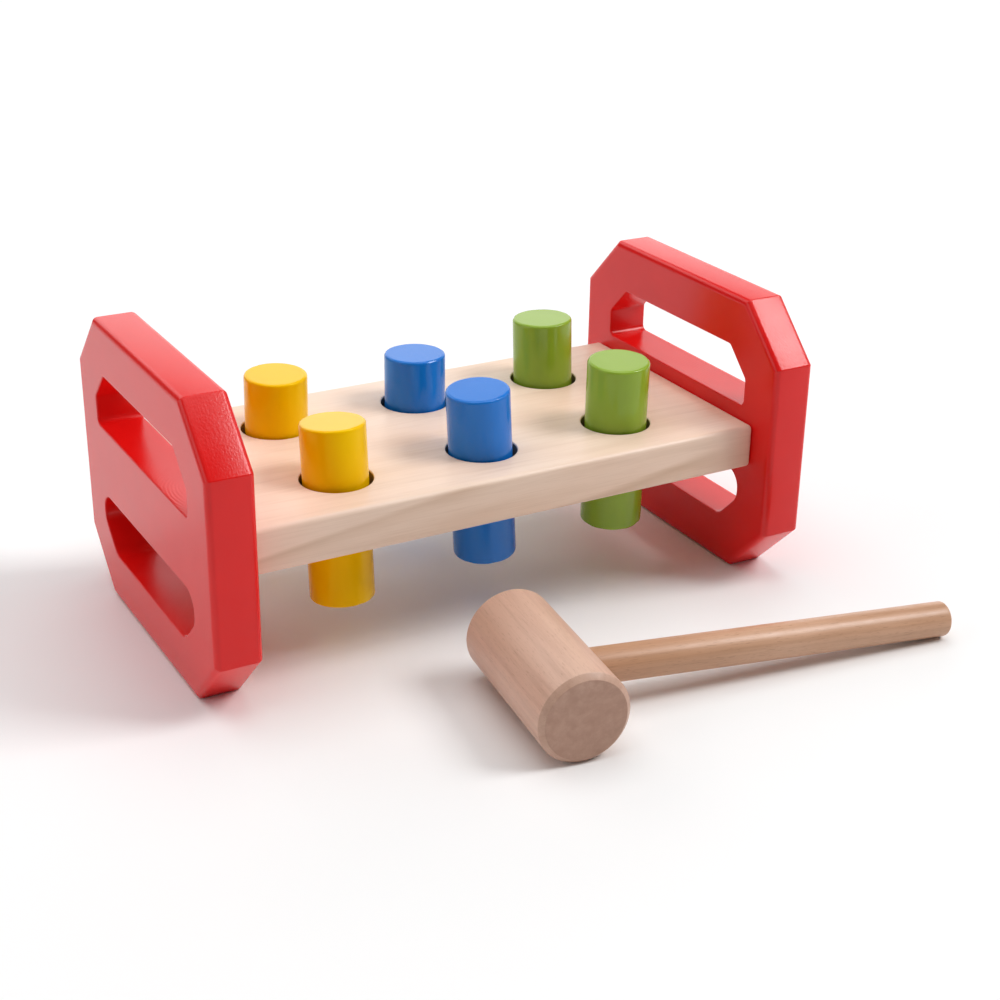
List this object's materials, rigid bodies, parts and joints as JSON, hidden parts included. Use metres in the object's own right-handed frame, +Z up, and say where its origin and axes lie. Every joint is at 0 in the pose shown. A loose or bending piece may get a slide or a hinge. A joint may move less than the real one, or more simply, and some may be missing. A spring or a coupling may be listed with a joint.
{
  "type": "toy workbench",
  "caption": "Wooden pounding bench: a board of loose round pegs between two octagonal end frames with slots, and a wooden mallet lying in front.",
  "frame": {"origin": "on the table, midway between the two end frames and midway front to back", "axes": "+Z up from the table; X along the board, from the yellow pegs to the green pegs; -Y is the front, where the mallet lies"},
  "size_m": [0.2758, 0.2219, 0.117],
  "materials": {
    "pale_wood": "sanded and clear-lacquered pale hardwood",
    "red_paint": "gloss red paint on wood",
    "yellow_paint": "gloss yellow paint on wood",
    "blue_paint": "gloss blue paint on wood",
    "green_paint": "gloss green paint on wood",
    "mallet_wood": "sanded beech with a thin satin lacquer",
    "dowel_wood": "plain turned hardwood",
    "grip_rubber": "matt soft rubber"
  },
  "bodies": {
    "bench": {"bench_board": "pale_wood", "left_end_frame": "red_paint", "right_end_frame": "red_paint", "yellow_front_grip_ring": "grip_rubber", "blue_front_grip_ring": "grip_rubber", "green_front_grip_ring": "grip_rubber", "yellow_back_grip_ring": "grip_rubber", "blue_back_grip_ring": "grip_rubber", "green_back_grip_ring": "grip_rubber", "left_front_dowel": "dowel_wood", "left_middle_dowel": "dowel_wood", "left_back_dowel": "dowel_wood", "right_front_dowel": "dowel_wood", "right_middle_dowel": "dowel_wood", "right_back_dowel": "dowel_wood"},
    "yellow_front_peg": {"yellow_front_peg": "yellow_paint"},
    "blue_front_peg": {"blue_front_peg": "blue_paint"},
    "green_front_peg": {"green_front_peg": "green_paint"},
    "yellow_back_peg": {"yellow_back_peg": "yellow_paint"},
    "blue_back_peg": {"blue_back_peg": "blue_paint"},
    "green_back_peg": {"green_back_peg": "green_paint"},
    "mallet": {"mallet_head": "mallet_wood", "mallet_handle": "mallet_wood"}
  },
  "joints": [
    {"name": "yellow_front_peg_slide", "type": "slide", "parent": "bench", "child": "yellow_front_peg", "axis": [-0.0052, 0.0698, 0.9976], "range_m": [-0.0182, 0.0264]},
    {"name": "blue_front_peg_slide", "type": "slide", "parent": "bench", "child": "blue_front_peg", "axis": [-0.0697, -0.0244, 0.9973], "range_m": [-0.0216, 0.023]},
    {"name": "green_front_peg_slide", "type": "slide", "parent": "bench", "child": "green_front_peg", "axis": [-0.0174, -0.0454, 0.9988], "range_m": [-0.0233, 0.0217]},
    {"name": "yellow_back_peg_slide", "type": "slide", "parent": "bench", "child": "yellow_back_peg", "axis": [0.0035, -0.0349, 0.9994], "range_m": [-0.0191, 0.0261]},
    {"name": "blue_back_peg_slide", "type": "slide", "parent": "bench", "child": "blue_back_peg", "axis": [0.0052, 0.0052, 1], "range_m": [-0.0178, 0.028]},
    {"name": "green_back_peg_slide", "type": "slide", "parent": "bench", "child": "green_back_peg", "axis": [-0.0227, 0.0209, 0.9995], "range_m": [-0.0234, 0.0218]},
    {"name": "mallet_lift", "type": "slide", "parent": "bench", "child": "mallet", "axis": [0, 0, 1], "range_m": [0, 0.12]}
  ]
}
